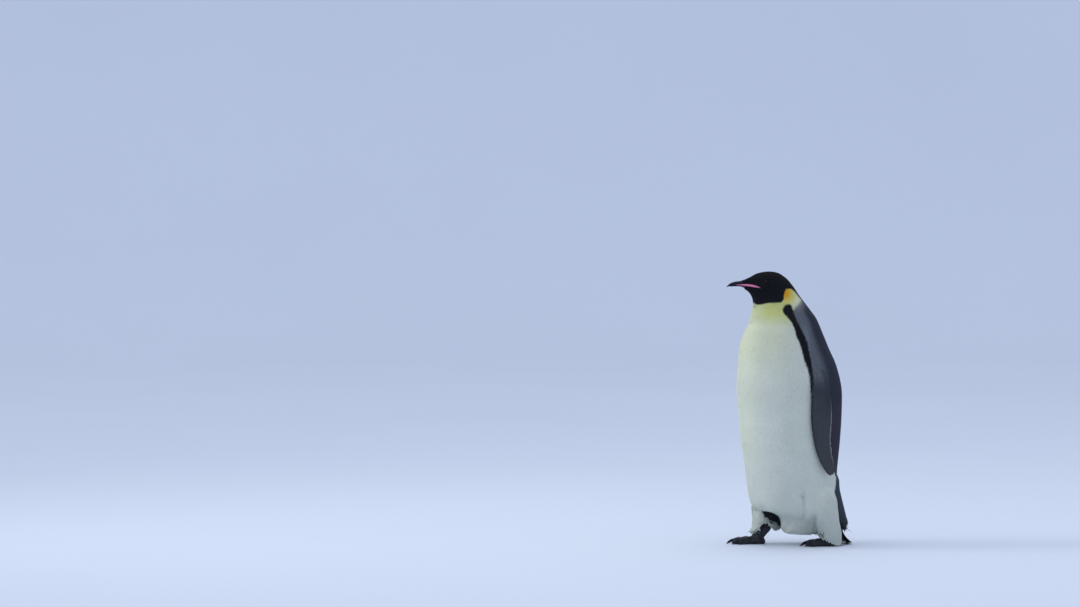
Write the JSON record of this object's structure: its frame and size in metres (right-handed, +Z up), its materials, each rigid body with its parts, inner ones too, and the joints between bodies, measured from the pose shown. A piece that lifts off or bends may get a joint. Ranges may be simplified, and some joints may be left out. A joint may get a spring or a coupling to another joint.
{
  "type": "emperor penguin figure",
  "caption": "Life-size museum model of an adult emperor penguin in mid-stride, flippers at its sides, tail tip on the floor; it stands on its own soles.",
  "frame": {"origin": "middle of the bounding box on the floor, between the feet", "axes": "+Z up; the bird faces -Y; its left side is +X"},
  "size_m": [0.3696, 0.4755, 0.9964],
  "materials": {
    "white_plumage": "white contour feathers",
    "cream_plumage": "pale yellow contour feathers",
    "black_plumage": "black, short, dense feathers",
    "slate_plumage": "slate grey feathers",
    "foot_hide": "dark, scaled hide",
    "horn": "black horn",
    "bill_plate": "lilac pink horn",
    "eye": "wet dark brown"
  },
  "bodies": {
    "root": {"bill_lower": "horn", "bill_plate_left": "bill_plate", "bill_plate_right": "bill_plate", "bill_upper": "horn", "eye_left": "eye", "eye_right": "eye", "flipper_left": "slate_plumage", "flipper_right": "slate_plumage", "foot_left": "foot_hide", "foot_right": "foot_hide", "head": "black_plumage", "hind_claw_left": "horn", "hind_claw_right": "horn", "inner_claw_left": "horn", "inner_claw_right": "horn", "middle_claw_left": "horn", "middle_claw_right": "horn", "neck": "cream_plumage", "outer_claw_left": "horn", "outer_claw_right": "horn", "rump": "slate_plumage", "tail": "slate_plumage", "thigh_left": "white_plumage", "thigh_right": "white_plumage", "trunk": "white_plumage"}
  },
  "joints": []
}
